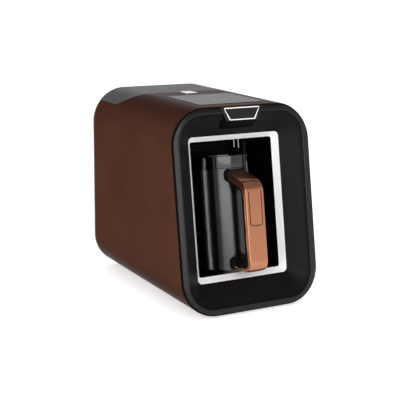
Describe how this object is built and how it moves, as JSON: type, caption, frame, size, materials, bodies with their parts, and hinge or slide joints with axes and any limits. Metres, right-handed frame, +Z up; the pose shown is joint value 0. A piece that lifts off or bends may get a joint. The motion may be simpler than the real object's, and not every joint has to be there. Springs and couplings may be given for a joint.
{
  "type": "electric turkish coffee maker",
  "caption": "Countertop electric turkish coffee maker: leaning front with a chrome-ringed alcove, lift-out pot with a C-shaped handle, touch panel, hinged lid and lift-out water tank.",
  "frame": {"origin": "on the table, under the middle of the whole object's box", "axes": "+Z up, the front with the pot faces -Y, +X is the right-hand side seen from the front"},
  "size_m": [0.19, 0.276, 0.2479],
  "materials": {
    "brown_sleeve": "metallic paint, satin",
    "black_plastic": "fine satin",
    "handle_black": "satin",
    "bright_chrome": "mirror",
    "plate_metal": "black coated",
    "steel": "satin",
    "dark_parts": "satin",
    "fuse_body": "satin",
    "panel_glass": "grey printed glass",
    "green_board": "satin",
    "black_rubber": "matte",
    "seal_rubber": "matte",
    "red_wire": "satin",
    "pale_plastic": "satin",
    "clear_tank": "clear smoked",
    "grey_lid": "satin metallic grey",
    "pot_metal": "matt black coated",
    "pot_gloss": "glossy",
    "copper": "copper-coloured satin"
  },
  "bodies": {
    "housing": {"outer_sleeve": "brown_sleeve", "front_bezel": "black_plastic", "badge_outline": "bright_chrome", "chrome_ring": "bright_chrome", "alcove_liner": "black_plastic", "hot_plate": "plate_metal", "heating_element": "steel", "heater_clamp": "steel", "heater_screws": "steel", "thermostat": "dark_parts", "thermal_fuse": "fuse_body", "water_spout": "steel", "foam_sensor": "dark_parts", "control_panel": "panel_glass", "panel_tray": "black_plastic", "control_board": "green_board", "button_guide": "black_plastic", "button_spring": "steel", "base_tray": "black_plastic", "rubber_feet": "black_rubber", "foot_screws": "steel", "bezel_screws": "steel", "tank_well": "black_plastic", "tank_socket": "pale_plastic", "socket_seal": "seal_rubber", "pump_housing": "dark_parts", "pump_motor": "steel", "pump_bracket": "black_plastic", "supply_hose": "seal_rubber", "delivery_hose": "seal_rubber", "power_board": "green_board", "mains_lead": "dark_parts", "heater_leads": "red_wire", "panel_cable": "dark_parts", "rear_cover": "black_plastic", "rear_screws": "steel", "cord_inlet": "black_plastic"},
    "release_button": {"lid_button": "bright_chrome"},
    "pump_rotor": {"pump_impeller": "pale_plastic"},
    "tank": {"water_tank": "clear_tank", "hinge_pins": "steel"},
    "valve": {"tank_valve": "pale_plastic"},
    "lid": {"tank_lid": "grey_lid"},
    "pot": {"pot_shell": "pot_metal", "pot_collar": "pot_gloss", "upper_bracket": "handle_black", "lower_bracket": "handle_black", "handle_shell": "copper", "handle_liner": "handle_black", "handle_inlay": "copper", "handle_screws": "steel"}
  },
  "joints": [
    {"name": "pot_slide", "type": "slide", "parent": "housing", "child": "pot", "axis": [0, -0.9854, 0.1702], "range_m": [0, 0.15]},
    {"name": "tank_lift", "type": "slide", "parent": "housing", "child": "tank", "axis": [0, 0, 1], "range_m": [0, 0.18]},
    {"name": "lid_hinge", "type": "hinge", "parent": "tank", "child": "lid", "pos_m": [0, 0.13352, 0.2381], "axis": [-1, 0, 0], "range_deg": [0, 85]},
    {"name": "button_press", "type": "slide", "parent": "housing", "child": "release_button", "axis": [0, 0, -1], "range_m": [0, 0.002], "stiffness_N_per_m": 600, "springref_m": -0.0005, "deforming": ["button_spring"]},
    {"name": "pump_spin", "type": "hinge", "parent": "housing", "child": "pump_rotor", "pos_m": [0.025, 0.07302, 0.0285], "axis": [0, 1, 0], "continuous": true},
    {"name": "valve_travel", "type": "slide", "parent": "tank", "child": "valve", "axis": [0, 0, 1], "range_m": [-0.003, 0]}
  ],
  "couplings": [
    {"joint": "valve_travel", "follows": "tank_lift", "ratio": -0.01666}
  ]
}
